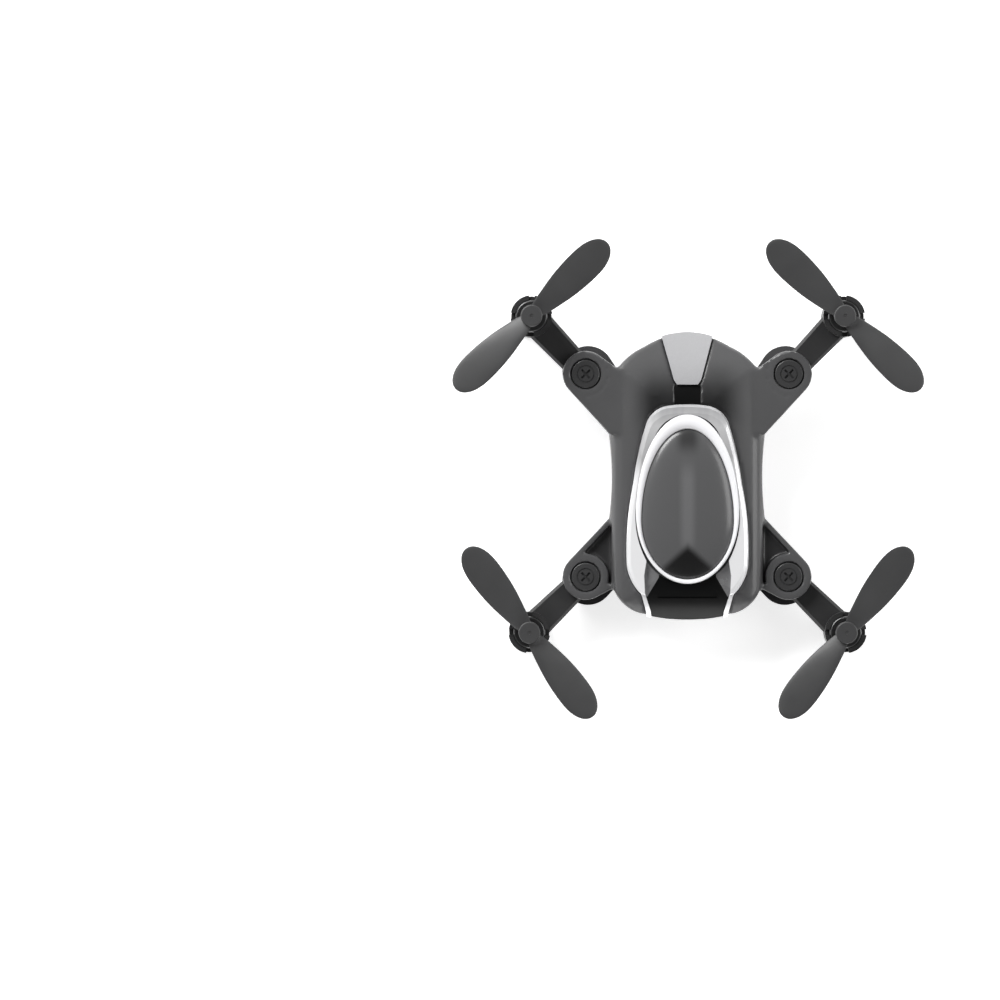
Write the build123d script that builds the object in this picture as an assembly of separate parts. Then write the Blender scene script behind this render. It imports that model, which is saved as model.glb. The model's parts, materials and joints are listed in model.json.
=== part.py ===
"""Palm-size folding quadcopter: body shells, canopy, four folding arms, motors and propellers.

Millimetres, +Y to the nose, +X to the right, +Z up. The origin is on the ground under the
middle of the machine, which stands on the feet of its four motor pods with its arms open.
"""
from build123d import *
import math
import os

# ---- body outline and height -------------------------------------------------------------
body_half_width = 17.2      # widest, where the front arm webs begin
waist_inset = 0.6           # of the waist, between the arms, from the widest
flank_inset = 0.9           # of the flanks, beside the rear hinges
nose_y = 32.2
tail_y = -30.8
belly_z = 1.2               # underside of the belly
split_z = 8.7               # joint between the two shells
crown_z = 16.9              # top of the upper shell
crown_side_z = 14.2         # where the top skin meets the flanks
crown_corner = 4.0
belly_side_z = 2.6
belly_corner = 3.0
shell_wall = 1.2
belly_floor = 1.6

# ---- canopy ------------------------------------------------------------------------------
inlay_depth = 0.7           # how deep inlaid skins sit in the shell
inlay_gap = 0.2             # shadow gap round inlaid skins
bezel_top_z = 17.7
bezel_edge_radius = 0.9
ring_top_z = 18.2
dome_top_z = 19.4
dome_wall = 1.0
dome_steps = 8
leg_rise = 0.6              # bezel legs above the shell skin
tail_rise = 0.3             # tail panel and windows above the shell skin
nose_plate_rise = 0.4
tail_groove_depth = 0.25

# ---- hinges and arms ---------------------------------------------------------------------
hinge_outset = 5.26         # hinge axes outside the widest part of the body
front_hinge_y = 23.25
rear_hinge_y = -21.6
front_lift = 3.0            # front arms and motors above the rear ones
arm_reach = 17.45           # hinge axis to motor axis
front_arm_angle = 46.5      # open front right arm, from +X
rear_arm_angle = -44.4      # open rear right arm, from +X
ear_radius = 5.1
lower_ear_radius = 5.7
lower_ear_shift = 0.6       # of the lower ear's middle, inwards and towards the nose or tail
ear_thickness = 2.4
lower_ear_z = 2.6           # underside of a rear lower ear
knuckle_radius = 4.9
arm_height = 4.2
hinge_gap = 0.2             # between a knuckle and each ear
web_rim = 1.1               # round the pocket in a rear web
web_pocket_depth = 1.6
pod_groove_width = 0.35     # round a front ear, on the body side
pod_groove_depth = 0.4
arm_root_width = 5.5
arm_tip_width = 6.7
arm_skin = 1.2
channel_width = 3.2         # wire channel under an arm
cover_thickness = 0.9
fit_gap = 0.05              # running and push fits, on the radius

hinge_pin_radius = 1.5
hinge_pin_seat = 0.6        # lower ear left under the pin
hinge_head_radius = 3.1
hinge_head_thickness = 1.0
hinge_head_gap = 0.3
hinge_head_slot = 0.45
hinge_head_cross = 2.6      # length of each slot
hinge_head_ring = 1.7       # inside radius of the turned ring round the slots
washer_outer_radius = 3.2
washer_thickness = 0.6

# ---- motors ------------------------------------------------------------------------------
motor_radius = 3.5
motor_length = 14.5
motor_nose_radius = 1.3
motor_nose_height = 0.5
pod_wall = 0.9
pod_bottom_z = 1.6          # of a rear pod
pod_height = 16.0
pod_slot_width = 1.3
pod_slot_depth = 5.0
pod_lip = 0.15
endcap_thickness = 1.0
shaft_radius = 0.4
shaft_depth = 10.0          # length of shaft inside the can
foot_plug_height = 0.6
foot_edge = 1.0

# ---- propellers --------------------------------------------------------------------------
propeller_radius = 23.2
propeller_z = 21.3          # middle plane of a rear propeller
propeller_hub_radius = 2.4
propeller_hub_height = 3.2
blade_thickness = 0.7
front_blade_angle = 136.0   # blade line of the front right propeller, from +X
rear_blade_angle = 53.0     # blade line of the rear right propeller, from +X
# share of the radius, chord, pitch in degrees
blade_stations = [
    (0.07, 3.2, 20.0),
    (0.20, 5.0, 18.0),
    (0.42, 6.8, 14.0),
    (0.62, 7.5, 11.0),
    (0.80, 7.2, 9.0),
    (0.92, 5.4, 8.0),
    (0.985, 2.6, 7.0),
]

# ---- inside the body ---------------------------------------------------------------------
battery_size = (15.0, 25.0, 6.0)
battery_gap = 0.2
battery_y = 0.7
door_size = (17.0, 30.0)
door_y = -0.6
door_thickness = 1.0
door_gap = 0.15
door_ledge = 0.8
board_size = (20.4, 42.0)
board_y = -5.0
board_z = 9.2
board_thickness = 0.8
usb_size = (7.4, 5.4, 2.5)
usb_tail_gap = 1.0          # port mouth inside the tail skin
button_radius = 2.2
button_y = -19.2
button_travel = 0.5
button_gap = 0.12
button_stand = 0.4          # cap below the belly skin
button_lip = 0.5
button_stem_radius = 1.1
switch_height = 2.2
switch_side = 4.4
screw_post_radius = 1.9
screw_radius = 0.8
screw_head_radius = 1.5
screw_head_height = 0.9
screw_sink = 1.0            # heads inside the belly skin
screw_top_z = 12.4
screw_front = (12.2, 13.6)
screw_rear = (12.6, -16.6)
door_screw_y = -13.8
light_radius = 1.5
light_z = 7.0
nose_light_x = 9.4
nose_light_setback = 4.5    # of the nose lights behind the tip of the nose
board_screw_radius = 0.6
board_screw_depth = 3.0
board_screw_head_radius = 1.2
board_screw_head_height = 0.45

# ---- values that follow ------------------------------------------------------------------
waist_half_width = body_half_width - waist_inset
flank_half_width = body_half_width - flank_inset
hinge_half_span = body_half_width + hinge_outset
arm_z = lower_ear_z + ear_thickness + hinge_gap
arm_top_z = arm_z + arm_height
upper_ear_z = arm_top_z + hinge_gap
pod_inner_radius = motor_radius + fit_gap
pod_radius = pod_inner_radius + pod_wall
pod_top_z = pod_bottom_z + pod_height
motor_bottom_z = pod_bottom_z + foot_plug_height + endcap_thickness
motor_top_z = motor_bottom_z + motor_length
board_top_z = board_z + board_thickness
battery_z = belly_z + belly_floor + battery_gap
screw_seat_z = belly_z + screw_sink + screw_head_height
door_screw_top_z = battery_z + 3.0
below = belly_z - 5.0
above = dome_top_z + 5.0

BOTTOM = (Align.CENTER, Align.CENTER, Align.MIN)
CORNERS = {
    "front_left": (-1, True),
    "front_right": (1, True),
    "rear_left": (-1, False),
    "rear_right": (1, False),
}


def disc(radius, bottom, top, at=(0.0, 0.0)):
    """Upright cylinder between two heights."""
    return Pos(at[0], at[1], bottom) * Cylinder(radius, top - bottom, align=BOTTOM)


def block(width, length, bottom, top, at=(0.0, 0.0)):
    """Upright box between two heights, centred on a point."""
    return Pos(at[0], at[1], bottom) * Box(width, length, top - bottom, align=BOTTOM)


def prism(sketch, bottom=below, top=above):
    """Upright solid with the sketch as its plan."""
    return Pos(0, 0, bottom) * extrude(sketch, amount=top - bottom, dir=(0, 0, 1))


def arc_chain(points):
    """Arcs through the points, each from one even-numbered point over the next to the one after."""
    chain = []
    for start, middle, end in zip(points[0::2], points[1::2], points[2::2]):
        across = (middle[0] - start[0]) * (end[1] - start[1])
        along = (middle[1] - start[1]) * (end[0] - start[0])
        bowed = abs(across - along) > 1e-6
        chain.append(ThreePointArc(start, middle, end) if bowed else Line(start, end))
    return chain


def mirrored_face(half_points):
    """Closed round plan from its right half, nose to tail, mirrored to the left."""
    left_points = [(-x, y) for x, y in half_points]
    return make_face(arc_chain(half_points) + arc_chain(left_points))


def mirrored_polygon(half_points):
    """Closed straight-sided plan from its right half, mirrored to the left."""
    left = [(-x, y) for x, y in reversed(half_points)]
    return make_face(Polyline(*half_points, *left, close=True))


def save(node, shape):
    """Write one sub-part."""
    export_step(shape, f"parts/{node}.step")


# ---- plans -------------------------------------------------------------------------------
body_half = [
    (0.0, nose_y),
    (4.8, nose_y - 0.7),
    (9.6, nose_y - 2.9),
    (13.2, nose_y - 5.2),
    (flank_half_width - 0.3, nose_y - 8.6),
    (flank_half_width + 0.6, 17.0),
    (body_half_width, 9.6),
    (waist_half_width, 0.6),
    (body_half_width, -8.4),
    (flank_half_width + 0.3, -17.0),
    (flank_half_width - 0.1, tail_y + 6.6),
    (13.6, tail_y + 2.8),
    (8.3, tail_y + 0.9),
    (4.2, tail_y + 0.2),
    (0.0, tail_y),
]
# side view, tail to nose
crown_line = [
    (tail_y, 12.2),
    (-26.6, 15.2),
    (-20.0, crown_z - 0.4),
    (-6.0, crown_z),
    (10.0, crown_z - 0.2),
    (23.0, 15.4),
    (nose_y, 10.8),
]
belly_line = [
    (tail_y, 4.6),
    (-25.6, 2.2),
    (-18.0, belly_z),
    (0.0, belly_z),
    (18.0, belly_z),
    (26.5, 2.4),
    (nose_y, 5.6),
]
bezel_half = [
    (0.0, 16.5),
    (2.2, 16.45),
    (4.4, 16.2),
    (7.3, 14.9),
    (9.0, 12.6),
    (10.8, 6.0),
    (12.0, -1.0),
    (13.4, -12.0),
    (13.4, -19.0),
    (12.3, -22.6),
    (10.2, -25.4),
    (5.1, -26.4),
    (0.0, -26.6),
]
ring_half = [
    (0.0, 14.3),
    (4.0, 13.2),
    (7.3, 9.2),
    (10.2, 2.2),
    (11.4, -6.0),
    (11.0, -13.0),
    (9.0, -18.2),
    (5.2, -21.75),
    (0.0, -23.1),
]
egg_half = [
    (0.0, 11.0),
    (3.6, 9.98),
    (6.4, 6.6),
    (9.0, 0.0),
    (10.1, -7.0),
    (9.8, -13.2),
    (7.8, -18.2),
    (4.3, -21.1),
    (0.0, -22.1),
]
tail_bay_half = [
    (9.0, -17.4),
    (9.6, -21.3),
    (9.4, -25.2),
    (8.1, -29.2),
    (7.6, tail_y - 2.0),
]
leg_half = [
    (10.6, -24.6),
    (10.0, -26.0),
    (9.1, -29.4),
    (8.6, tail_y - 2.0),
]
window_half = [
    (10.4, -17.0),
    (10.4, -25.0),
    (8.9, -26.0),
    (6.3, -21.6),
    (6.3, -17.0),
]
nose_plate_half = [
    (5.5, nose_y + 1.0),
    (5.5, 31.1),
    (3.0, 21.9),
    (2.3, 20.9),
]
nose_inlay_half = [
    (3.0, 20.9 - inlay_gap),
    (2.7, 15.6),
]


def body_plan(lift):
    """Body outline moved outwards by lift."""
    across = 1 + lift / body_half_width
    along = 1 + lift / nose_y
    return mirrored_face([(x * across, y * along) for x, y in body_half])


def arch(half_width, side_z, middle_z, corner):
    """Bar along Y with an arched top or bottom and rounded corners, from the split."""
    face = make_face([
        Line((-half_width, split_z), (-half_width, side_z)),
        ThreePointArc((-half_width, side_z), (0, middle_z), (half_width, side_z)),
        Line((half_width, side_z), (half_width, split_z)),
        Line((half_width, split_z), (-half_width, split_z)),
    ])
    corners = [v for v in face.vertices() if abs(v.Y - side_z) < 0.01]
    return extrude(Plane.XZ * fillet(corners, corner), amount=50, both=True)


def keel(line, lift, toward):
    """Slab along X between the split and a side view line moved outwards by lift."""
    along = 1 + lift / nose_y
    points = [(y * along, z + toward * lift) for y, z in line]
    tail, nose = points[0], points[-1]
    lid = Polyline(nose, (nose[0], split_z), (tail[0], split_z), tail)
    return extrude(Plane.YZ * make_face(arc_chain(points) + [lid]), amount=50, both=True)


def crown(lift):
    """Solid under the upper shell's skin down to the split, moved outwards by lift."""
    across = arch(body_half_width + lift, crown_side_z + lift, crown_z + lift, crown_corner)
    return prism(body_plan(lift), split_z, above) & across & keel(crown_line, lift, 1)


def belly(lift):
    """Solid above the lower shell's skin up to the split, moved outwards by lift."""
    across = arch(body_half_width + lift, belly_side_z - lift, belly_z - lift, belly_corner)
    return prism(body_plan(lift), below, split_z) & across & keel(belly_line, lift, -1)


def under_crown(lift):
    """The crown solid carried on straight down through the lower shell."""
    return crown(lift) + prism(body_plan(lift), below, split_z)


def over_belly(lift):
    """The belly solid carried on straight up through the upper shell."""
    return belly(lift) + prism(body_plan(lift), split_z, above)


def hinge_point(side, front):
    """Plan position of a corner's hinge axis."""
    return (side * hinge_half_span, front_hinge_y if front else rear_hinge_y)


def tangent_point(outside, centre, radius, turn):
    """Point where a line from outside touches a circle, on its left (1) or right (-1)."""
    dx = centre[0] - outside[0]
    dy = centre[1] - outside[1]
    distance = math.hypot(dx, dy)
    reach = math.sqrt(distance**2 - radius**2)
    heading = math.atan2(dy, dx) + turn * math.asin(radius / distance)
    return (outside[0] + reach * math.cos(heading), outside[1] + reach * math.sin(heading))


def web_plan(side, front, radius, inset=0.0, shift=0.0):
    """Ear disc and the web that ties it to the body, seen from above."""
    x, y = hinge_point(side, front)
    hinge = (x - side * shift, y + (shift if front else -shift))
    if front:
        outer = (side * (body_half_width - 0.2), 9.8)
        inner = (side * (flank_half_width - 0.9), 24.4)
    else:
        outer = (side * (body_half_width - 0.2), -8.4)
        inner = (side * (flank_half_width - 0.9), -23.6)
    turn = -side if front else side
    outer_touch = tangent_point(outer, hinge, radius, turn)
    inner_touch = tangent_point(inner, hinge, radius, -turn)
    root = side * (flank_half_width - 5.0)
    plan = make_face(Polyline(outer_touch, outer, (root, outer[1]), (root, inner[1]),
                              inner, inner_touch, hinge, close=True))
    plan += Pos(*hinge) * Circle(radius)
    return offset(plan, amount=-inset) if inset else plan


# ---- top shell ---------------------------------------------------------------------------
def canopy_plan():
    """Everything inlaid round the dome: hoop, legs, windows and tail panel."""
    return mirrored_face(bezel_half) + mirrored_polygon(leg_half)


def skin_between(plan, rise):
    """Piece of skin with the given plan, from the inlay floor up to rise above the shell."""
    return (prism(plan) & crown(rise)) - under_crown(-inlay_depth)


def top_shell():
    """Crowned upper shell with its ears, webs, inlay pockets and screw posts."""
    cavity = under_crown(-shell_wall)
    shell = crown(0)
    for side, front in CORNERS.values():
        base = upper_ear_z + (front_lift if front else 0)
        shell += prism(web_plan(side, front, ear_radius), base, base + ear_thickness)
    shell -= cavity
    for side, front in CORNERS.values():
        shell -= ear_cuts(side, front)
    for at in screw_points():
        post = disc(screw_post_radius, split_z, above, at) & crown(-fit_gap)
        shell += post
        shell -= disc(screw_radius, below, screw_top_z, at)
    for at in board_screw_points():
        post = disc(screw_post_radius, board_top_z, above, at) & crown(-fit_gap)
        shell += post
        shell -= disc(board_screw_radius, below, board_top_z + board_screw_depth, at)
    pockets = offset(canopy_plan(), amount=inlay_gap)
    pockets += offset(mirrored_polygon(nose_plate_half), amount=inlay_gap)
    pockets += mirrored_polygon(nose_inlay_half)
    shell -= prism(pockets) - under_crown(-inlay_depth)
    shell -= usb_window()
    return shell


def ear_cuts(side, front):
    """Hinge hole and head seat of an upper ear, and the hollow in a rear web."""
    hinge = hinge_point(side, front)
    base = upper_ear_z + (front_lift if front else 0)
    top = base + ear_thickness
    cuts = disc(hinge_pin_radius + fit_gap, base - 1, top + 1, hinge)
    seat = top - hinge_head_thickness
    cuts += disc(hinge_head_radius + hinge_head_gap, seat, top + 1, hinge)
    groove = Circle(ear_radius) - Circle(ear_radius - pod_groove_width)
    groove &= Pos(-side * ear_radius, 0) * Rectangle(ear_radius * 2, ear_radius * 2)
    if front:
        cuts += prism(Pos(*hinge) * groove, top - pod_groove_depth, top + 1)
    else:
        hollow = web_plan(side, front, ear_radius, inset=web_rim)
        hollow -= Pos(*hinge) * Circle(ear_radius)
        hollow -= Pos(side * (flank_half_width - 4.6), rear_hinge_y) * Rectangle(10.0, 60.0)
        cuts += prism(hollow, top - web_pocket_depth, top + 1)
    return cuts


def screw_points():
    """Four screws that hold the two shells together."""
    return [(side * x, y) for x, y in (screw_front, screw_rear) for side in (-1, 1)]


def board_screw_points():
    """Two screws that hold the board up under the top shell."""
    return [(0.0, 14.6), (-7.6, -17.6)]


def usb_window():
    """Hole in the tail of the top shell for the charging port."""
    width, _, height = usb_size
    middle = tail_y + shell_wall
    return block(width + 2 * door_gap, 8.0, board_top_z - door_gap,
                 board_top_z + height + door_gap, (0.0, middle))


# ---- bottom shell ------------------------------------------------------------------------
def bottom_shell():
    """Tub-shaped lower shell with its ears, posts, battery hatch and openings."""
    cavity = over_belly(-shell_wall) & block(100, 100, belly_z + belly_floor, above)
    shell = belly(0)
    for side, front in CORNERS.values():
        base = lower_ear_z + (front_lift if front else 0)
        ear = web_plan(side, front, lower_ear_radius, shift=lower_ear_shift)
        shell += prism(ear, base, base + ear_thickness)
    shell -= cavity
    for side, front in CORNERS.values():
        base = lower_ear_z + (front_lift if front else 0)
        shell -= disc(hinge_pin_radius, base + hinge_pin_seat, above,
                      hinge_point(side, front))
    for at in screw_points():
        shell += disc(screw_post_radius, belly_z, split_z, at) & belly(-fit_gap)
        shell -= disc(screw_radius, below, above, at)
        shell -= disc(screw_head_radius + fit_gap, below, screw_seat_z, at)
    width, length = door_size
    shell -= block(width, length, below, belly_z + door_thickness, (0.0, door_y))
    shell -= block(width - 2 * door_ledge, length - 2 * door_ledge - 4.0, below, belly_z + 2.5,
                   (0.0, door_y + 2.0))
    shell += disc(screw_post_radius, belly_z + door_thickness, door_screw_top_z,
                  (0.0, door_screw_y))
    shell -= disc(screw_radius, below, door_screw_top_z - 0.5, (0.0, door_screw_y))
    shell -= disc(button_radius + button_gap, below, above, (0.0, button_y))
    for light in light_places():
        shell -= light
    return shell


def light_places():
    """Two nose lights and a tail light, each a lens through the wall of the lower shell."""
    lens = Rot(90, 0, 0) * Cylinder(light_radius, 3.0)
    lights = [Pos(side * nose_light_x, nose_y - nose_light_setback, light_z)
              * Rot(0, 0, -side * 27) * lens for side in (-1, 1)]
    return lights + [Pos(0, tail_y + 1.4, light_z - 1.6) * lens]


def battery_door():
    """Hatch over the battery, held by one screw."""
    width, length = door_size
    door = block(width - 2 * door_gap, length - 2 * door_gap, belly_z,
                 belly_z + door_thickness - fit_gap, (0.0, door_y))
    door = fillet(door.edges().filter_by(Axis.Z), 1.5)
    door -= disc(screw_radius + fit_gap, below, above, (0.0, door_screw_y))
    door -= disc(screw_head_radius + fit_gap, below, belly_z + 0.5, (0.0, door_screw_y))
    for rib in range(5):
        door -= block(8.0, 0.5, below, belly_z + 0.2, (0.0, door_y + 6.0 + rib * 1.4))
    return door


def screw(radius, head_radius, head_bottom, head_height, top, at):
    """Pan-head screw driven upwards, with a cross recess in its head."""
    body = disc(head_radius, head_bottom, head_bottom + head_height, at)
    body = fillet(body.edges().sort_by(Axis.Z)[0], head_height * 0.4)
    body += disc(radius, head_bottom + head_height, top, at)
    slot = head_radius * 1.1
    for width, length in ((slot, slot / 4), (slot / 4, slot)):
        body -= block(width, length, head_bottom - 1, head_bottom + head_height * 0.5, at)
    return body


# ---- canopy ------------------------------------------------------------------------------
def canopy_bezel():
    """Hoop round the dome with its two legs running down the tail."""
    edge = bezel_edge_radius
    hoop = inset_loft(bezel_half, [(split_z, 0.0), (bezel_top_z - edge, 0.0),
                                   (bezel_top_z - 0.3 * edge, 0.3 * edge), (bezel_top_z, edge)])
    hoop -= under_crown(-inlay_depth)
    hoop += skin_between(mirrored_polygon(leg_half), leg_rise)
    hoop -= prism(mirrored_face(ring_half))
    return hoop - prism(mirrored_polygon(tail_bay_half))


def canopy_ring():
    """Polished lip between the hoop and the dome."""
    ring = inset_loft(ring_half, [(split_z, 0.0), (ring_top_z - 0.5, 0.0), (ring_top_z, 0.4)])
    ring -= prism(mirrored_face(egg_half))
    return ring - under_crown(-inlay_depth)


def inset_loft(half_points, levels):
    """Solid with the plan at each height moved inwards by the inset given with it."""
    widest, middle_y = max(half_points)
    sections = []
    for height, inset in levels:
        size = 1 - inset / widest
        plan = mirrored_face([(x * size, middle_y + (y - middle_y) * size)
                              for x, y in half_points])
        sections.append(Pos(0, 0, height) * plan)
    return loft(sections, ruled=True)


def egg_loft(inset):
    """Egg-shaped dome body, moved inwards by inset, with an elliptical crest."""
    widest = max(egg_half)[0]
    shoulder = ring_top_z - 0.9 - inset
    crest = dome_top_z - inset - shoulder
    levels = [(split_z, inset), (shoulder, inset)]
    for step in range(1, dome_steps):
        climb = math.sin(math.pi / 2 * step / dome_steps)
        levels.append((shoulder + crest * climb,
                       inset + (widest - inset) * (1 - math.sqrt(1 - climb**2))))
    return inset_loft(egg_half, levels)


def canopy_dome():
    """Hollow egg-shaped dome."""
    return egg_loft(0) - egg_loft(dome_wall) - under_crown(-inlay_depth)


def tail_bay():
    """Skin between the bezel legs, behind the ring."""
    return skin_between(mirrored_polygon(tail_bay_half), tail_rise) - prism(mirrored_face(ring_half))


def window_prism(side):
    """Upright solid round one tail window."""
    return prism(make_face(Polyline(*[(side * x, y) for x, y in window_half], close=True)))


def tail_window(side):
    """Grey window between a bezel leg and the ring."""
    return tail_bay() & window_prism(side)


def tail_panel():
    """Black panel over the tail with a shallow step across it."""
    panel = tail_bay() - window_prism(-1) - window_prism(1)
    step = prism(Pos(0, -25.8) * Rectangle(13.0, 1.0))
    panel -= step - under_crown(tail_rise - tail_groove_depth)
    return panel - usb_window()


def nose_plate():
    """Silver wedge let into the nose."""
    return skin_between(mirrored_polygon(nose_plate_half), nose_plate_rise)


def nose_inlay():
    """Black insert between the nose plate and the bezel."""
    plan = mirrored_polygon(nose_inlay_half) - offset(mirrored_face(bezel_half), amount=0.05)
    plan -= offset(mirrored_polygon(nose_plate_half), amount=inlay_gap)
    return skin_between(plan, -inlay_depth / 3)


# ---- inside the body ---------------------------------------------------------------------
def main_board():
    """Circuit board under the top shell's posts."""
    width, length = board_size
    board = block(width, length, board_z, board_top_z, (0.0, board_y))
    board = chamfer(board.edges().filter_by(Axis.Z), 2.0)
    for at in board_screw_points():
        board -= disc(board_screw_radius + fit_gap, below, above, at)
    return board


def usb_port():
    """Micro charging socket on the tail edge of the board."""
    width, length, height = usb_size
    middle = tail_y + shell_wall + usb_tail_gap + length / 2
    port = block(width, length, board_top_z, board_top_z + height, (0.0, middle))
    port = fillet(port.edges().filter_by(Axis.Y), 0.5)
    mouth = block(width - 0.6, 4.0, board_top_z + 0.3, board_top_z + height - 0.3,
                  (0.0, middle - length / 2 + 1.6))
    tongue = block(width - 3.2, 3.4, board_top_z + 1.0, board_top_z + 1.6,
                   (0.0, middle - length / 2 + 2.2))
    return port - mouth + tongue


def power_switch():
    """Push switch under the board, above the power button."""
    housing = block(switch_side, switch_side, board_z - switch_height, board_z, (0.0, button_y))
    return fillet(housing.edges().filter_by(Axis.Z), 0.4)


def power_button():
    """Button in the belly, with a lip inside and a stem up to the switch."""
    at = (0.0, button_y)
    floor_z = belly_z + belly_floor
    button = disc(button_radius, belly_z - button_stand, floor_z, at)
    button = fillet(button.edges().sort_by(Axis.Z)[0], 0.3)
    button += disc(button_radius + button_lip, floor_z, floor_z + 0.6, at)
    button += disc(button_stem_radius, floor_z, board_z - switch_height - button_travel - 0.1, at)
    return button


# ---- arms and motors, built for a rear corner with the hinge at the origin, arm along +X --
def arm():
    """Folding arm with its hinge knuckle and motor pod."""
    motor_at = (arm_reach, 0.0)
    half_root = arm_root_width / 2
    half_tip = arm_tip_width / 2
    beam = prism(make_face(Polyline((0, -half_root), (arm_reach, -half_tip),
                                    (arm_reach, half_tip), (0, half_root), close=True)),
                 arm_z, arm_top_z)
    beam = chamfer(beam.edges().group_by(Axis.Z)[-1].filter_by(Axis.X, tolerance=5), 0.6)
    beam += disc(knuckle_radius, arm_z, arm_top_z)
    beam += disc(pod_radius, pod_bottom_z, pod_top_z, motor_at)
    beam += disc(pod_radius + pod_lip, pod_top_z - 1.2, pod_top_z - 0.3, motor_at)
    beam -= disc(pod_inner_radius, below, above, motor_at)
    for turn in range(4):
        slot = Pos(pod_radius, 0, pod_top_z - pod_slot_depth) * Box(
            3.0, pod_slot_width, pod_slot_depth + 1, align=BOTTOM)
        beam -= Pos(*motor_at) * Rot(0, 0, 45 + 90 * turn) * slot
    beam -= disc(hinge_pin_radius + fit_gap, below, above)
    beam -= disc(washer_outer_radius + fit_gap, below, arm_z - hinge_gap + washer_thickness
                 + fit_gap)
    return beam - prism(channel_plan(0), below, arm_top_z - arm_skin)


def channel_plan(gap):
    """Plan of the wire channel under the arm."""
    start = knuckle_radius - 0.2 + gap
    end = arm_reach - pod_radius - 0.4 - gap
    return Pos((start + end) / 2, 0) * Rectangle(end - start, channel_width - 2 * gap)


def arm_cover():
    """Lid over the wire channel, flush with the arm's underside."""
    cover = prism(channel_plan(fit_gap), arm_z, arm_z + cover_thickness)
    for rib in range(3):
        cover -= block(0.4, channel_width - 1.0, below, arm_z + 0.2,
                       (knuckle_radius + 1.8 + rib * 2.0, 0.0))
    return cover


def motor_can():
    """Steel can of a coreless motor, bored for its shaft."""
    at = (arm_reach, 0.0)
    can = disc(motor_radius, motor_bottom_z, motor_top_z, at)
    can = fillet(can.edges().sort_by(Axis.Z)[-1], 0.4)
    can += disc(motor_nose_radius, motor_top_z, motor_top_z + motor_nose_height, at)
    return can - disc(shaft_radius + fit_gap, motor_top_z - shaft_depth - 0.5, above, at)


def motor_endcap():
    """Plastic end of the motor with its two terminal notches."""
    cap = disc(motor_radius, motor_bottom_z - endcap_thickness, motor_bottom_z, (arm_reach, 0.0))
    for side in (-1, 1):
        cap -= block(1.2, 0.8, below, motor_bottom_z - 0.4, (arm_reach - 2.4, side * 1.2))
    return cap


def motor_foot(lift):
    """Landing foot that plugs the bottom of a motor pod."""
    at = (arm_reach, 0.0)
    foot = disc(pod_radius, -lift, pod_bottom_z, at)
    foot = fillet(foot.edges().sort_by(Axis.Z)[0], foot_edge)
    foot += disc(pod_inner_radius - fit_gap, pod_bottom_z, pod_bottom_z + foot_plug_height, at)
    return foot


def motor_shaft():
    """Steel shaft from the motor up through the propeller hub."""
    hub_top = propeller_z + propeller_hub_height / 2
    return disc(shaft_radius, motor_top_z - shaft_depth, hub_top - 0.2, (arm_reach, 0.0))


def propeller(turn, handed):
    """Two-blade propeller, its blade line turned from the arm; a hand of -1 mirrors it."""
    sections = []
    for share, chord, pitch in blade_stations:
        place = Plane(origin=(share * propeller_radius, 0, 0), x_dir=(0, 1, 0), z_dir=(1, 0, 0))
        thick = blade_thickness * (1.3 - 0.8 * share)
        sections.append(place * Rot(0, 0, -pitch) * Ellipse(chord / 2, thick / 2))
    blade = loft([section.face() for section in sections] + [Vertex(propeller_radius, 0, 0)])
    half = propeller_hub_height / 2
    blades = blade + Rot(0, 0, 180) * blade
    hub = disc(propeller_hub_radius, -half, half)
    hub = fillet(hub.edges().sort_by(Axis.Z)[-1], 0.3)
    blades += hub
    blades -= disc(shaft_radius, -half - 1, half + 1)
    if handed < 0:
        blades = mirror(blades, about=Plane.XZ)
    return Pos(arm_reach, 0, propeller_z) * Rot(0, 0, turn) * blades


def hinge_screw():
    """Hinge pin with a round slotted head, seated in the upper ear."""
    ear_top = upper_ear_z + ear_thickness
    seat = ear_top - hinge_head_thickness
    pin = disc(hinge_head_radius, seat, ear_top)
    pin = fillet(pin.edges().sort_by(Axis.Z)[-1], 0.25)
    pin += disc(hinge_pin_radius, lower_ear_z + hinge_pin_seat, seat)
    for width, length in ((hinge_head_cross, hinge_head_slot),
                          (hinge_head_slot, hinge_head_cross)):
        pin -= block(width, length, ear_top - 0.4, ear_top + 1)
    groove = disc(hinge_head_ring + 0.25, ear_top - 0.15, ear_top + 1)
    return pin - (groove - disc(hinge_head_ring, below, above))


def hinge_washer():
    """Spring washer between the lower ear and the knuckle."""
    base = lower_ear_z + ear_thickness
    return disc(washer_outer_radius, base, base + washer_thickness - fit_gap) - disc(
        hinge_pin_radius + fit_gap, below, above)


def at_corner(shape, side, front):
    """Move a corner piece to its place, with the arm open."""
    angle = front_arm_angle if front else rear_arm_angle
    turn = angle if side > 0 else 180 - angle
    hinge = hinge_point(side, front)
    return Pos(hinge[0], hinge[1], front_lift if front else 0) * Rot(0, 0, turn) * shape


def blade_turn(side, front):
    """Angle of the blade line from the arm, and the propeller's hand, at a corner."""
    blade = front_blade_angle if front else rear_blade_angle
    open_arm = front_arm_angle if front else rear_arm_angle
    return side * (blade - open_arm), side if front else -side


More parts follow.
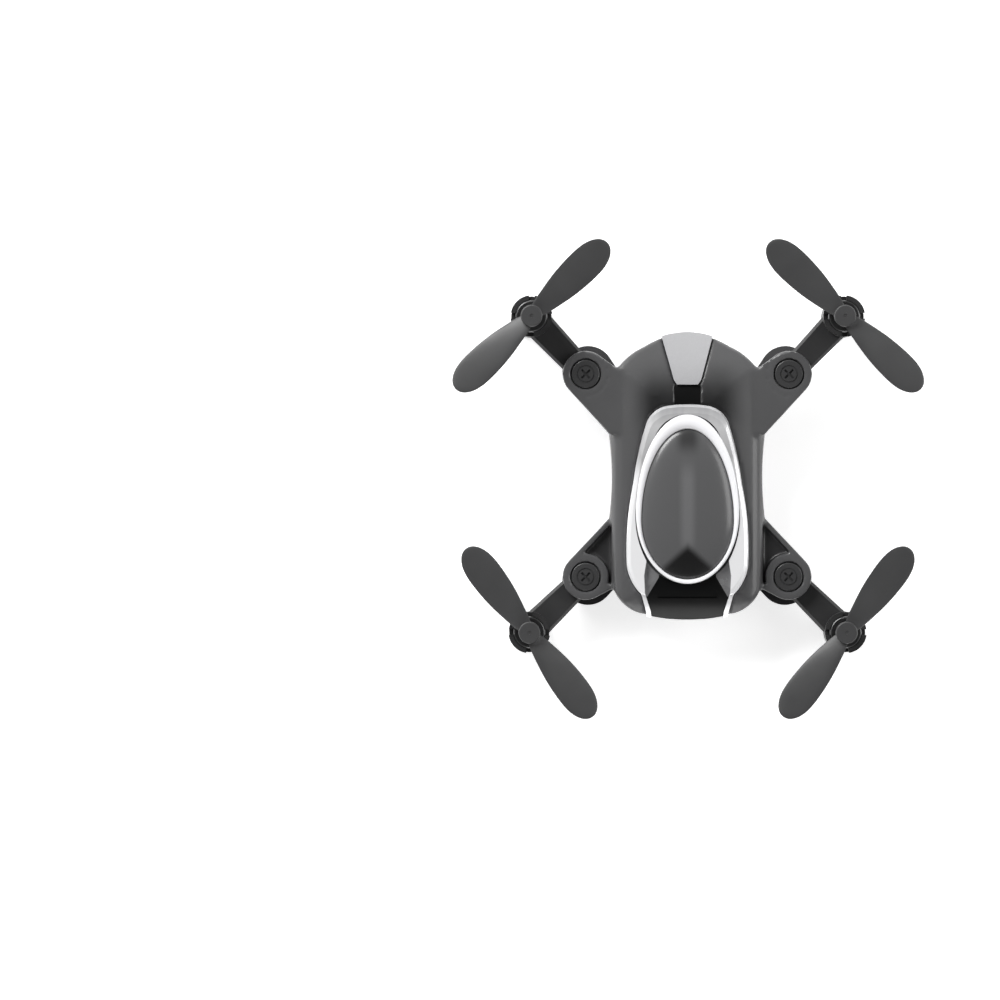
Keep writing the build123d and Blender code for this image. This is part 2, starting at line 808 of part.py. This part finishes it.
if __name__ == "__main__":
    os.makedirs("parts", exist_ok=True)
    save("top_shell", top_shell())
    save("bottom_shell", bottom_shell())
    save("canopy_bezel", canopy_bezel())
    save("canopy_ring", canopy_ring())
    save("canopy_dome", canopy_dome())
    save("tail_panel", tail_panel())
    save("tail_window_left", tail_window(-1))
    save("tail_window_right", tail_window(1))
    save("nose_plate", nose_plate())
    save("nose_inlay", nose_inlay())
    save("battery_door", battery_door())
    save("main_board", main_board())
    save("usb_port", usb_port())
    save("power_switch", power_switch())
    save("power_button", power_button())

    for node, light in zip(("nose_light_left", "nose_light_right", "tail_light"),
                           light_places()):
        save(node, light & belly(fit_gap))

    battery_width, battery_length, battery_height = battery_size
    battery = block(battery_width, battery_length, battery_z, battery_z + battery_height,
                    (0.0, battery_y))
    save("battery", fillet(battery.edges().filter_by(Axis.Y), 1.2))
    chips = {
        "control_chip": (5.0, 5.0, 0.9, (0.0, -2.0)),
        "radio_chip": (4.0, 4.0, 0.8, (0.0, 6.0)),
        "motion_sensor": (3.0, 3.0, 0.9, (5.4, 2.0)),
        "battery_socket": (6.0, 4.4, 3.0, (-5.0, -12.0)),
    }
    for node, (width, length, height, at) in chips.items():
        chip = block(width, length, board_top_z, board_top_z + height, at)
        save(node, chamfer(chip.edges().group_by(Axis.Z)[-1], 0.15))
    drivers = Part() + [block(2.0, 1.6, board_top_z, board_top_z + 0.8, (side * 7.4, y))
                        for side in (-1, 1) for y in (9.0, -9.0)]
    save("driver_chips", drivers)

    save("shell_screws", Part() + [
        screw(screw_radius, screw_head_radius, belly_z + screw_sink, screw_head_height,
              screw_top_z - 0.5, at) for at in screw_points()])
    save("board_screws", Part() + [
        screw(board_screw_radius, board_screw_head_radius, board_z - board_screw_head_height,
              board_screw_head_height, board_top_z + board_screw_depth - 0.5, at)
        for at in board_screw_points()])
    save("battery_door_screw", screw(screw_radius, screw_head_radius, belly_z, 0.5,
                                     door_screw_top_z - 1.0, (0.0, door_screw_y)))
    save("hinge_screws", Part() + [at_corner(hinge_screw(), *c) for c in CORNERS.values()])
    save("hinge_washers", Part() + [at_corner(hinge_washer(), *c) for c in CORNERS.values()])

    for corner, (side, front) in CORNERS.items():
        turn, handed = blade_turn(side, front)
        pieces = {
            "arm": arm(),
            "arm_cover": arm_cover(),
            "motor_can": motor_can(),
            "motor_endcap": motor_endcap(),
            "motor_foot": motor_foot(front_lift if front else 0.0),
            "motor_shaft": motor_shaft(),
            "propeller": propeller(turn, handed),
        }
        for name, shape in pieces.items():
            save(f"{name}_{corner}", at_corner(shape, side, front))
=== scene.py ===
"""Looks of the palm-size folding quadcopter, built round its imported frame."""
import json
import math
import bmesh
import bpy
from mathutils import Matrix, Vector


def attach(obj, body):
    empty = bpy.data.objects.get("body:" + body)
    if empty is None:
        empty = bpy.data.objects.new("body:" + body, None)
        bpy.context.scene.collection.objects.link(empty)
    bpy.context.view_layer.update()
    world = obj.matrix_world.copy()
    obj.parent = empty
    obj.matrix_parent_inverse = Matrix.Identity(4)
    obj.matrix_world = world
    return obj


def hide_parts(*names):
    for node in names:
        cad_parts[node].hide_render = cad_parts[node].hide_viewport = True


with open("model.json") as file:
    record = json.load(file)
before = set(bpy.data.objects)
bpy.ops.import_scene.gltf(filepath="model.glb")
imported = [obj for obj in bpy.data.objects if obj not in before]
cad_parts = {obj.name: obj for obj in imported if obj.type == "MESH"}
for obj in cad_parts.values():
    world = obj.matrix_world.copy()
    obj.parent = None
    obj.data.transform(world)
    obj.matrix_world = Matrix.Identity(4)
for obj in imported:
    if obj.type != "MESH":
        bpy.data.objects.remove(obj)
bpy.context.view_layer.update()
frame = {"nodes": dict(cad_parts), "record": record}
MM = 0.001
BRIDGED_VERTICES = 128      # round each egg-shaped loop

# millimetres: half width, y where it is widest, y at the nose end, y at the tail end
DOME_EGG = (10.15, -9.0, 11.0, -22.1)
DOME_SHOULDER_Z = 17.3
DOME_RISE = 2.0
DOME_STEPS = 14
SHELL_GRID = 0.34           # voxel size of the remeshed upper shell, millimetres


# ---- finishes ------------------------------------------------------------------------------
def new_finish(name, colour, roughness, metallic=0.0, coat=0.0, specular=0.5):
    """Material with its shader's plain values set; returns it with its nodes and links."""
    finish = bpy.data.materials.new(name)
    finish.use_nodes = True
    tree = finish.node_tree
    shader = tree.nodes["Principled BSDF"]
    shader.inputs["Base Color"].default_value = (*colour, 1.0)
    shader.inputs["Roughness"].default_value = roughness
    shader.inputs["Metallic"].default_value = metallic
    shader.inputs["Coat Weight"].default_value = coat
    shader.inputs["Coat Roughness"].default_value = 0.08
    shader.inputs["Specular IOR Level"].default_value = specular
    return finish, tree, shader


def add_noise(tree, size_mm, detail=3.0, stretch=(1.0, 1.0, 1.0)):
    """Noise with features of the given size, fixed to the piece."""
    place = tree.nodes.new("ShaderNodeTexCoord")
    mapping = tree.nodes.new("ShaderNodeMapping")
    mapping.inputs["Scale"].default_value = stretch
    noise = tree.nodes.new("ShaderNodeTexNoise")
    noise.inputs["Scale"].default_value = 1.0 / (size_mm * MM)
    noise.inputs["Detail"].default_value = detail
    tree.links.new(place.outputs["Object"], mapping.inputs["Vector"])
    tree.links.new(mapping.outputs["Vector"], noise.inputs["Vector"])
    return noise


def add_bump(tree, shader, source, strength, height_mm):
    """Surface relief of the given height driven by a texture."""
    bump = tree.nodes.new("ShaderNodeBump")
    bump.inputs["Strength"].default_value = strength
    bump.inputs["Distance"].default_value = height_mm * MM
    tree.links.new(source, bump.inputs["Height"])
    tree.links.new(bump.outputs["Normal"], shader.inputs["Normal"])
    return bump


def vary_colour(tree, shader, source, dark, light):
    """Base colour that drifts between two tones with a texture."""
    ramp = tree.nodes.new("ShaderNodeValToRGB")
    ramp.color_ramp.elements[0].position = 0.3
    ramp.color_ramp.elements[1].position = 0.7
    ramp.color_ramp.elements[0].color = (*dark, 1.0)
    ramp.color_ramp.elements[1].color = (*light, 1.0)
    tree.links.new(source, ramp.inputs["Fac"])
    tree.links.new(ramp.outputs["Color"], shader.inputs["Base Color"])


def vary_roughness(tree, shader, source, low, high):
    """Roughness that drifts between two values with a texture."""
    spread = tree.nodes.new("ShaderNodeMapRange")
    spread.inputs["To Min"].default_value = low
    spread.inputs["To Max"].default_value = high
    tree.links.new(source, spread.inputs["Value"])
    tree.links.new(spread.outputs["Result"], shader.inputs["Roughness"])


def moulded(name, grey, roughness, grain_mm=0.25, relief_mm=0.01, drift=0.06, coat=0.0,
            tint=(1.0, 1.0, 1.02), specular=0.5):
    """Injection-moulded plastic: fine spark grain, slow drift of tone and of gloss."""
    colour = tuple(grey * t for t in tint)
    finish, tree, shader = new_finish(name, colour, roughness, coat=coat, specular=specular)
    cloud = add_noise(tree, 9.0, 4.0)
    vary_colour(tree, shader, cloud.outputs["Fac"],
                tuple(c * (1 - drift) for c in colour), tuple(c * (1 + drift) for c in colour))
    smear = add_noise(tree, 3.5, 5.0)
    vary_roughness(tree, shader, smear.outputs["Fac"], roughness * 0.85, roughness * 1.15)
    grain = add_noise(tree, grain_mm, 2.0)
    add_bump(tree, shader, grain.outputs["Fac"], 0.35, relief_mm)
    return finish


def metal(name, grey, roughness, stretch=(1.0, 1.0, 1.0), streak_mm=0.4):
    """Bare metal with drawn or turned streaks."""
    finish, tree, shader = new_finish(name, (grey, grey, grey * 1.01), roughness, metallic=1.0)
    streak = add_noise(tree, streak_mm, 4.0, stretch)
    vary_roughness(tree, shader, streak.outputs["Fac"], roughness * 0.7, roughness * 1.3)
    add_bump(tree, shader, streak.outputs["Fac"], 0.2, 0.01)
    return finish


def silver_paint(name):
    """Fine metallic silver paint under a satin lacquer."""
    finish, tree, shader = new_finish(name, (0.54, 0.54, 0.55), 0.36, metallic=0.3, coat=0.2)
    flake = add_noise(tree, 0.09, 1.0)
    vary_colour(tree, shader, flake.outputs["Fac"], (0.38, 0.38, 0.39), (0.46, 0.46, 0.47))
    add_bump(tree, shader, flake.outputs["Fac"], 0.12, 0.006)
    return finish


def foil(name):
    """Crinkled silver film of a battery pouch."""
    finish, tree, shader = new_finish(name, (0.5, 0.52, 0.55), 0.3, metallic=0.8)
    crinkle = add_noise(tree, 2.2, 6.0)
    add_bump(tree, shader, crinkle.outputs["Fac"], 0.6, 0.15)
    vary_roughness(tree, shader, crinkle.outputs["Fac"], 0.22, 0.42)
    return finish


def solder_mask(name):
    """Green board with faint tracks under its mask."""
    finish, tree, shader = new_finish(name, (0.01, 0.09, 0.035), 0.35, coat=0.4)
    place = tree.nodes.new("ShaderNodeTexCoord")
    tracks = tree.nodes.new("ShaderNodeTexBrick")
    tracks.inputs["Scale"].default_value = 700.0
    tracks.inputs["Color1"].default_value = (0.010, 0.090, 0.035, 1.0)
    tracks.inputs["Color2"].default_value = (0.012, 0.105, 0.040, 1.0)
    tracks.inputs["Mortar"].default_value = (0.030, 0.170, 0.060, 1.0)
    tree.links.new(place.outputs["Object"], tracks.inputs["Vector"])
    tree.links.new(tracks.outputs["Color"], shader.inputs["Base Color"])
    return finish


def fade(tree, source, low_mm, high_mm, low, high):
    """Smooth change of a value from low to high as source runs between two distances."""
    change = tree.nodes.new("ShaderNodeMapRange")
    change.interpolation_type = "SMOOTHSTEP"
    change.inputs["From Min"].default_value = low_mm * MM
    change.inputs["From Max"].default_value = high_mm * MM
    change.inputs["To Min"].default_value = low
    change.inputs["To Max"].default_value = high
    tree.links.new(source, change.inputs["Value"])
    return change.outputs["Result"]


def combine(tree, operation, first, second):
    """Two values put together by a maths operation."""
    maths = tree.nodes.new("ShaderNodeMath")
    maths.operation = operation
    for socket, value in zip(maths.inputs, (first, second)):
        if isinstance(value, float):
            socket.default_value = value
        else:
            tree.links.new(value, socket)
    return maths.outputs["Value"]


def shell_with_painted_darkening(name):
    """Satin charcoal moulding with painted darkening: a painted dark reflection in the hollow round
    the hoop's nose, and painted shade on the low sides by the rear webs.
    """
    finish, tree, shader = new_finish(name, (0.06, 0.06, 0.061), 0.33, coat=0.12)
    place = tree.nodes.new("ShaderNodeTexCoord")
    axes = tree.nodes.new("ShaderNodeSeparateXYZ")
    tree.links.new(place.outputs["Object"], axes.inputs["Vector"])
    side = combine(tree, "ABSOLUTE", axes.outputs["X"], 0.0)
    # painted dark reflection in the hollow round the hoop's nose
    ahead = fade(tree, axes.outputs["Y"], 17.0, 28.0, 0.0, 1.0)
    behind = fade(tree, axes.outputs["Y"], 6.0, 15.0, 0.0, 1.0)
    outward = fade(tree, side, 7.0, 13.5, 0.0, 1.0)
    painted_darkening = combine(tree, "MULTIPLY", behind, combine(tree, "SUBTRACT", 1.0, ahead))
    painted_darkening = combine(tree, "MULTIPLY", painted_darkening, combine(tree, "SUBTRACT", 1.0, outward))
    # painted shade on the low sides by the rear webs
    low = fade(tree, axes.outputs["Z"], 10.5, 11.5, 1.0, 0.0)
    webbed = combine(tree, "MULTIPLY", fade(tree, side, 15.6, 16.8, 0.0, 1.0),
                     fade(tree, axes.outputs["Y"], -9.0, -7.0, 1.0, 0.0))
    pocket_shade = combine(tree, "MULTIPLY", low, webbed)
    cloud = add_noise(tree, 9.0, 4.0)
    drift = combine(tree, "MULTIPLY", cloud.outputs["Fac"], 0.16)
    # the painted shade joins the painted reflection, and both darken the base tone
    painted_darkening = combine(tree, "ADD", painted_darkening, combine(tree, "MULTIPLY", pocket_shade, 0.7))
    tone = combine(tree, "SUBTRACT", combine(tree, "ADD", drift, 0.76),
                   combine(tree, "MULTIPLY", painted_darkening, 0.85))
    ramp = tree.nodes.new("ShaderNodeValToRGB")
    ramp.color_ramp.elements[0].color = (0.012, 0.012, 0.0125, 1.0)
    ramp.color_ramp.elements[1].color = (0.092, 0.092, 0.094, 1.0)
    tree.links.new(tone, ramp.inputs["Fac"])
    tree.links.new(ramp.outputs["Color"], shader.inputs["Base Color"])
    smear = add_noise(tree, 3.5, 5.0)
    vary_roughness(tree, shader, smear.outputs["Fac"], 0.28, 0.38)
    grain = add_noise(tree, 0.22, 2.0)
    add_bump(tree, shader, grain.outputs["Fac"], 0.3, 0.006)
    return finish


def smoked_dome(name):
    """Polished smoked cap with painted reflections: a pale painted reflection down its crest, a
    dark painted reflection at the nose end and a broad dark painted reflection at the tail end."""
    finish, tree, shader = new_finish(name, (0.07, 0.07, 0.072), 0.22, coat=0.05)
    place = tree.nodes.new("ShaderNodeTexCoord")
    axes = tree.nodes.new("ShaderNodeSeparateXYZ")
    tree.links.new(place.outputs["Object"], axes.inputs["Vector"])
    side = combine(tree, "ABSOLUTE", axes.outputs["X"], 0.0)
    # pale painted reflection down the crest, fading out towards the nose end
    painted_crest_reflection = combine(tree, "MULTIPLY", fade(tree, side, 0.3, 2.4, 0.30, 0.0),
                   fade(tree, axes.outputs["Y"], -0.5, 5.5, 1.0, 0.0))
    # dark painted reflection at the nose end
    painted_nose_reflection = combine(tree, "MULTIPLY", fade(tree, side, 0.8, 3.4, 0.42, 0.0),
                   fade(tree, axes.outputs["Y"], 4.5, 9.0, 0.0, 1.0))
    # dark painted reflection spreading across the tail end
    slant = combine(tree, "ADD", axes.outputs["Y"], combine(tree, "MULTIPLY", side, 0.9))
    painted_tail_reflection = fade(tree, slant, -16.0, -13.4, 0.64, 0.0)
    # the pale painted reflection stops short of the dark one at the tail
    painted_crest_reflection = combine(tree, "MULTIPLY", painted_crest_reflection, fade(tree, axes.outputs["Y"], -16.5, -13.0, 0.0, 1.0))
    # the painted reflections lighten and darken the cap's base tone
    tone = combine(tree, "ADD", combine(tree, "SUBTRACT", 0.68, painted_nose_reflection), painted_crest_reflection)
    tone = combine(tree, "SUBTRACT", tone, painted_tail_reflection)
    ramp = tree.nodes.new("ShaderNodeValToRGB")
    ramp.color_ramp.elements[0].color = (0.004, 0.004, 0.004, 1.0)
    ramp.color_ramp.elements[1].color = (0.135, 0.135, 0.138, 1.0)
    tree.links.new(tone, ramp.inputs["Fac"])
    tree.links.new(ramp.outputs["Color"], shader.inputs["Base Color"])
    ripple = add_noise(tree, 5.0, 2.0)
    vary_roughness(tree, shader, ripple.outputs["Fac"], 0.20, 0.28)
    return finish


def brushed_silver(name):
    """Satin silver hoop with painted shade: white along its sides, greyed by painted shade in the
    two nose corners.
    """
    finish, tree, shader = new_finish(name, (0.7, 0.7, 0.71), 0.27, metallic=0.25, coat=0.4)
    place = tree.nodes.new("ShaderNodeTexCoord")
    axes = tree.nodes.new("ShaderNodeSeparateXYZ")
    tree.links.new(place.outputs["Object"], axes.inputs["Vector"])
    # painted shade along the hoop: white towards the tail, grey in the nose corners; the streaks
    # roughen its border
    streak = add_noise(tree, 2.6, 3.0, (1.0, 0.16, 1.0))
    jitter = tree.nodes.new("ShaderNodeMath")
    jitter.operation = "MULTIPLY_ADD"
    jitter.inputs[1].default_value = 5.0 * MM
    tree.links.new(streak.outputs["Fac"], jitter.inputs[0])
    tree.links.new(axes.outputs["Y"], jitter.inputs[2])
    painted_corner_shade = tree.nodes.new("ShaderNodeMapRange")
    painted_corner_shade.inputs["From Min"].default_value = -28.0 * MM
    painted_corner_shade.inputs["From Max"].default_value = 20.0 * MM
    tree.links.new(jitter.outputs["Value"], painted_corner_shade.inputs["Value"])
    ramp = tree.nodes.new("ShaderNodeValToRGB")
    ramp.color_ramp.elements[0].color = (0.95, 0.95, 0.96, 1.0)
    ramp.color_ramp.elements[1].color = (0.34, 0.34, 0.35, 1.0)
    for position, tone in ((0.34, 0.94), (0.62, 0.88), (0.74, 0.46), (0.88, 0.62)):
        stop = ramp.color_ramp.elements.new(position)
        stop.color = (tone, tone, tone * 1.01, 1.0)
    tree.links.new(painted_corner_shade.outputs["Result"], ramp.inputs["Fac"])
    tree.links.new(ramp.outputs["Color"], shader.inputs["Base Color"])
    grain = add_noise(tree, 0.12, 1.0)
    add_bump(tree, shader, grain.outputs["Fac"], 0.12, 0.004)
    return finish


FINISHES = {
    "shell": shell_with_painted_darkening("satin_charcoal_shell"),
    "bezel": brushed_silver("satin_silver_hoop"),
    "ring": moulded("white_lip", 0.90, 0.24, 0.3, 0.003, 0.01, 0.3),
    "dome": smoked_dome("smoked_dome"),
    "black_gloss": moulded("piano_black", 0.003, 0.30, 0.4, 0.002, 0.10, specular=0.22),
    "window": moulded("grey_tinted_window", 0.16, 0.26, 0.4, 0.002, 0.05, 0.3),
    "nose_silver": silver_paint("silver_nose_paint"),
    "arm": moulded("fine_grained_arm_plastic", 0.028, 0.42, 0.18, 0.010),
    "blade": moulded("matt_blade_nylon", 0.044, 0.46, 0.15, 0.008),
    "hinge_cap": moulded("hinge_cap_plastic", 0.040, 0.32, 0.2, 0.006),
    "steel": metal("plated_screw_steel", 0.40, 0.30),
    "motor_can": metal("blackened_can_steel", 0.10, 0.36, (1.0, 1.0, 0.05)),
    "motor_plastic": moulded("motor_end_nylon", 0.55, 0.5, 0.3, 0.006, 0.04, 0.0, (1.0, 0.97, 0.9)),
    "foot": moulded("soft_black_foot", 0.022, 0.65, 0.12, 0.02),
    "board": solder_mask("green_board"),
    "chip": moulded("chip_epoxy", 0.025, 0.55, 0.1, 0.01),
    "socket": moulded("cream_socket_nylon", 0.6, 0.5, 0.2, 0.01, 0.04, 0.0, (1.0, 0.96, 0.86)),
    "port": metal("tinned_port_shell", 0.6, 0.25),
    "battery": foil("battery_foil"),
    "light": moulded("clear_lens", 0.75, 0.08, 0.5, 0.001, 0.02, 0.8),
}


def wear_finish(piece, slot):
    """Give a piece the finish of its slot."""
    piece.data.materials.clear()
    piece.data.materials.append(FINISHES[slot])


for part in frame["record"]["subparts"]:
    wear_finish(frame["nodes"][part["node"]], part["material_slot"])


# ---- modelling -----------------------------------------------------------------------------
def start_piece(name):
    """Empty mesh in edit mode, ready for primitives."""
    bpy.ops.object.select_all(action="DESELECT")
    bpy.ops.mesh.primitive_plane_add(size=1.0, location=(0, 0, 0))
    piece = bpy.context.object
    piece.name = name
    bpy.ops.object.mode_set(mode="EDIT")
    bpy.ops.mesh.select_all(action="SELECT")
    bpy.ops.mesh.delete(type="VERT")
    return piece


def pick(piece, wanted):
    """In edit mode, select the vertices that pass the test and nothing else."""
    bpy.ops.mesh.select_all(action="DESELECT")
    mesh = bmesh.from_edit_mesh(piece.data)
    for vertex in mesh.verts:
        vertex.select = wanted(vertex)
    mesh.select_flush(True)
    bmesh.update_edit_mesh(piece.data)


def end_piece(piece, finish, body, slot, *nodes):
    """Outward faces, smooth shading, finish, body and the nodes the piece stands for."""
    bpy.ops.mesh.select_all(action="SELECT")
    bpy.ops.mesh.remove_doubles(threshold=0.002 * MM)
    bpy.ops.mesh.normals_make_consistent(inside=False)
    bpy.ops.object.mode_set(mode="OBJECT")
    bpy.ops.object.transform_apply(location=True, rotation=True, scale=True)
    bpy.ops.object.shade_smooth_by_angle(angle=0.7)
    piece.data.materials.clear()
    piece.data.materials.append(finish)
    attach(piece, body)
    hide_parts(*nodes)


def apply_modifiers(piece):
    """Apply every modifier of the piece, in order."""
    for modifier in list(piece.modifiers):
        bpy.ops.object.modifier_apply(modifier=modifier.name)


def egg_loop(piece, half_width, wide_y, nose_y, tail_y, height):
    """Add one egg-shaped loop of edges: two half ellipses, widest at wide_y. Millimetres."""
    mesh = bmesh.from_edit_mesh(piece.data)
    before = len(mesh.verts)
    bpy.ops.mesh.primitive_circle_add(vertices=BRIDGED_VERTICES, radius=half_width * MM,
                                      location=(0, wide_y * MM, height * MM))
    middle = (0, wide_y * MM, height * MM)
    for front, reach in ((True, nose_y - wide_y), (False, wide_y - tail_y)):
        pick(piece, lambda v: v.index >= before and (v.co.y > wide_y * MM) == front)
        bpy.ops.transform.resize(value=(1.0, reach / half_width, 1.0), center_override=middle)
    return range(before, before + BRIDGED_VERTICES)


def bridge(piece, first, second):
    """Faces between two loops."""
    pick(piece, lambda v: v.index in first or v.index in second)
    bpy.ops.mesh.bridge_edge_loops()


def loop_stack(piece, loops):
    """Skin over a stack of egg-shaped loops; returns them."""
    made = [egg_loop(piece, *loop) for loop in loops]
    for first, second in zip(made, made[1:]):
        bridge(piece, first, second)
    return made


# ---- dome and ring -------------------------------------------------------------------------
def dome():
    """Smoked egg-shaped cap with an elliptical crown."""
    piece = start_piece("smoked_dome")
    loops = [(9.6, -9.0, 10.4, -21.5, 15.2), (10.12, -9.0, 10.96, -22.06, 15.6)]
    half_width, wide_y, nose_y, tail_y = DOME_EGG
    loops.append((*DOME_EGG, DOME_SHOULDER_Z))
    for step in range(1, DOME_STEPS):
        lean = 0.5 * math.pi * step / DOME_STEPS
        shrink = math.cos(lean)
        loops.append((half_width * shrink, wide_y, wide_y + (nose_y - wide_y) * shrink,
                      wide_y - (wide_y - tail_y) * shrink,
                      DOME_SHOULDER_Z + DOME_RISE * math.sin(lean)))
    made = loop_stack(piece, loops)
    for loop in (made[0], made[-1]):
        pick(piece, lambda v: v.index in loop)
        bpy.ops.mesh.edge_face_add()
    end_piece(piece, FINISHES["dome"], "body", "dome", "canopy_dome")


def lip_ring():
    """White lip: broad and dished at the nose, narrow at the tail."""
    piece = start_piece("white_lip_ring")
    loops = [
        (11.40, -7.5, 14.30, -23.10, 15.2),
        (11.40, -7.5, 14.30, -23.10, 17.6),
        (11.28, -7.5, 14.10, -22.98, 17.95),
        (11.05, -7.6, 13.60, -22.80, 18.12),
        (10.70, -8.3, 12.40, -22.50, 18.10),
        (10.32, -8.9, 11.35, -22.22, 17.80),
        (10.20, -9.0, 11.08, -22.14, 17.45),
        (10.20, -9.0, 11.08, -22.14, 15.2),
    ]
    made = loop_stack(piece, loops)
    bridge(piece, made[-1], made[0])
    end_piece(piece, FINISHES["ring"], "body", "ring", "canopy_ring")


# ---- upper shell ---------------------------------------------------------------------------
def soft_shell():
    """Upper shell with its moulded edges rounded and its nose and shoulders blended."""
    bpy.ops.object.select_all(action="DESELECT")
    piece = bpy.data.objects.new("satin_upper_shell", frame["nodes"]["top_shell"].data.copy())
    bpy.context.scene.collection.objects.link(piece)
    bpy.context.view_layer.objects.active = piece
    piece.select_set(True)
    bpy.ops.object.mode_set(mode="EDIT")
    bpy.ops.mesh.select_all(action="SELECT")
    bpy.ops.mesh.remove_doubles(threshold=0.001 * MM)
    bpy.ops.object.mode_set(mode="OBJECT")
    grid = piece.modifiers.new("grid", "REMESH")
    grid.mode = "VOXEL"
    grid.voxel_size = SHELL_GRID * MM
    bpy.ops.object.modifier_apply(modifier="grid")
    bpy.ops.object.mode_set(mode="EDIT")
    pick(piece, lambda v: blended(*(c / MM for c in v.co)))
    skin = piece.vertex_groups.new(name="blended")
    bpy.ops.object.vertex_group_assign()
    bpy.ops.object.mode_set(mode="OBJECT")
    ease = piece.modifiers.new("ease", "SMOOTH")
    ease.factor = 0.5
    ease.iterations = 2
    blend = piece.modifiers.new("blend", "SMOOTH")
    blend.factor = 0.5
    blend.iterations = 26
    blend.vertex_group = skin.name
    apply_modifiers(piece)
    bpy.ops.object.mode_set(mode="EDIT")
    end_piece(piece, FINISHES["shell"], "body", "shell", "top_shell")


def blended(x, y, z):
    """Whether a point of the upper shell, in millimetres, lies on its blended skin."""
    off_plate = abs(x) > 6.6 or y < 14.0
    off_hoop = abs(x) > 14.6 or y > 18.6 or (y < -23.8 and abs(x) > 12.4)
    return z > 10.5 and off_plate and off_hoop and abs(x) < 16.6


# ---- studio --------------------------------------------------------------------------------
def studio():
    """White floor, soft panels overhead, and a surround pale at the horizon and dark above."""
    bpy.ops.object.select_all(action="DESELECT")
    bpy.ops.mesh.primitive_plane_add(size=6.0, location=(0, 0, 0))
    floor = bpy.context.object
    floor.name = "studio_floor"
    finish, tree, shader = new_finish("studio_white", (0.9, 0.9, 0.9), 0.9)
    shader.inputs["Emission Color"].default_value = (1.0, 1.0, 1.0, 1.0)
    shader.inputs["Emission Strength"].default_value = 0.62
    vary_roughness(tree, shader, add_noise(tree, 40.0).outputs["Fac"], 0.85, 0.95)
    floor.data.materials.append(finish)
    world = bpy.data.worlds.new("pale_surround")
    world.use_nodes = True
    tree = world.node_tree
    sky = tree.nodes.new("ShaderNodeTexCoord")
    axes = tree.nodes.new("ShaderNodeSeparateXYZ")
    ramp = tree.nodes.new("ShaderNodeValToRGB")
    ramp.color_ramp.elements[0].position = 0.10
    ramp.color_ramp.elements[0].color = (1.0, 1.0, 1.0, 1.0)
    ramp.color_ramp.elements[1].position = 0.97
    ramp.color_ramp.elements[1].color = (0.10, 0.10, 0.10, 1.0)
    shoulder = ramp.color_ramp.elements.new(0.66)
    shoulder.color = (0.42, 0.42, 0.42, 1.0)
    tree.links.new(sky.outputs["Generated"], axes.inputs["Vector"])
    tree.links.new(axes.outputs["Z"], ramp.inputs["Fac"])
    tree.links.new(ramp.outputs["Color"], tree.nodes["Background"].inputs["Color"])
    tree.nodes["Background"].inputs["Strength"].default_value = 0.75
    bpy.context.scene.world = world
    panels = [
        ("key_panel", (-0.45, 0.55, 0.45), 0.45, 8.5),
        ("fill_panel", (0.65, 0.15, 0.50), 0.45, 2.4),
        ("tail_panel_light", (0.0, -0.85, 0.22), 0.45, 1.6),
    ]
    for name, place, size, power in panels:
        light = bpy.data.lights.new(name, "AREA")
        light.shape = "SQUARE"
        light.size = size
        light.energy = power
        lamp = bpy.data.objects.new(name, light)
        lamp.location = place
        lamp.rotation_euler = (-Vector(place)).to_track_quat("-Z", "Y").to_euler()
        bpy.context.scene.collection.objects.link(lamp)


def camera():
    """Long lens straight overhead, nose up in the picture, the machine right of the middle."""
    lens = bpy.data.cameras.new("overhead_camera")
    distance = 2.0
    field = 0.2206
    lens.sensor_width = 36.0
    lens.lens = lens.sensor_width * distance / field
    eye = bpy.data.objects.new("overhead_camera", lens)
    eye.location = (-0.0414, -0.0046, distance + 0.018)
    eye.rotation_euler = (0.0, 0.0, 0.0)
    bpy.context.scene.collection.objects.link(eye)
    bpy.context.scene.camera = eye
    bpy.context.scene.view_settings.view_transform = "Standard"


dome()
lip_ring()
soft_shell()
studio()
camera()
